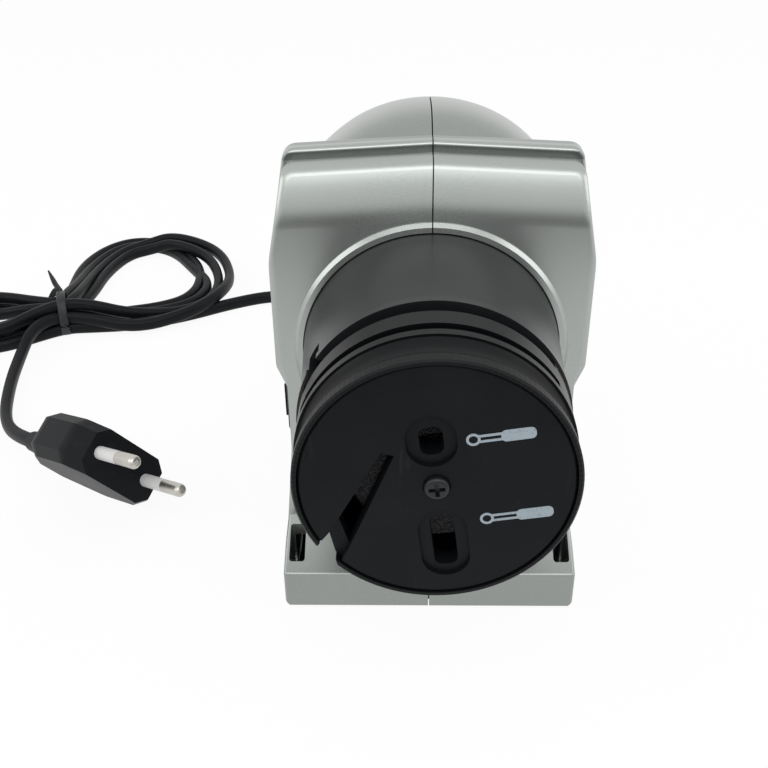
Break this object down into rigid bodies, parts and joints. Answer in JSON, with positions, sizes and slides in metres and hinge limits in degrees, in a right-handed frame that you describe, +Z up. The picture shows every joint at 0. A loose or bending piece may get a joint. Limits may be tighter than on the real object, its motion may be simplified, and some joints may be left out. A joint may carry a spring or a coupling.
{
  "type": "electric sharpener",
  "caption": "Motor-driven bench sharpener with a turning guide head for knives, drills and chisels, side rocker switch and mains cord with plug.",
  "frame": {"origin": "on the table, below the middle of the body's box, head included and free cord left out", "axes": "+Z up, +X to the right seen from the front, the head points to -Y and the motor shaft lies along Y"},
  "size_m": [0.2514, 0.2974, 0.1286],
  "materials": {
    "silver_paint": "satin silver paint on moulded plastic",
    "black_plastic": "fine moulded grain",
    "black_satin": "smooth satin",
    "rubber_black": "matt",
    "cable_black": "soft moulded sheath",
    "steel": "zinc plated",
    "brass": "plain",
    "sign_print": "printed",
    "abrasive": "rough bonded grit",
    "aluminium": "die cast",
    "nylon": "natural nylon",
    "core_sheets": "stacked electrical sheets",
    "copper_winding": "lacquered wire",
    "commutator_copper": "turned",
    "carbon": "pressed carbon",
    "capacitor_case": "moulded box",
    "lead_insulation": "insulated wire",
    "nickel": "nickel plated",
    "sleeve_white": "smooth",
    "tie_sheath": "coated wire"
  },
  "bodies": {
    "body": {"base_plate": "black_plastic", "base_screws": "steel", "block_screws": "brass", "brush_holders": "brass", "brush_springs": "steel", "capacitor": "capacitor_case", "carbon_brushes": "carbon", "clamp_screws": "steel", "collar": "black_satin", "cord_clamp": "black_plastic", "cord_grip": "cable_black", "cord_hank": "cable_black", "cord_tail": "cable_black", "field_coils": "copper_winding", "front_bearing": "steel", "housing_left": "silver_paint", "housing_right": "silver_paint", "housing_screws": "steel", "lead_wires": "lead_insulation", "motor_nuts": "steel", "motor_screws": "steel", "pin_sleeves": "sleeve_white", "plug_body": "cable_black", "plug_lead": "cable_black", "plug_pins": "nickel", "power_cord": "cable_black", "rear_bearing": "steel", "rear_bracket": "aluminium", "rubber_feet": "rubber_black", "stator_core": "core_sheets", "switch_frame": "black_plastic", "switch_terminals": "brass", "terminal_block": "nylon", "twist_tie": "tie_sheath"},
    "rotor": {"motor_shaft": "steel", "grinding_wheel": "abrasive", "wheel_hub": "aluminium", "wheel_nut": "steel", "cooling_fan": "nylon", "armature_core": "core_sheets", "armature_windings": "copper_winding", "commutator": "commutator_copper"},
    "guide_head": {"guide_sleeve": "black_satin", "front_disc": "black_plastic", "guide_plate": "black_plastic", "head_screw": "nickel", "tool_signs": "sign_print"},
    "switch_rocker": {"rocker": "black_satin"}
  },
  "joints": [
    {"name": "wheel_spin", "type": "hinge", "parent": "body", "child": "rotor", "pos_m": [0, -0.0325, 0.074], "axis": [0, 1, 0], "continuous": true},
    {"name": "head_twist", "type": "hinge", "parent": "body", "child": "guide_head", "pos_m": [0, -0.0755, 0.074], "axis": [0, -1, 0], "range_deg": [-6.8, 23.2]},
    {"name": "rocker_tilt", "type": "hinge", "parent": "body", "child": "switch_rocker", "pos_m": [-0.03525, 0.001, 0.0515], "axis": [0, 0, 1], "range_deg": [0, 18]}
  ]
}
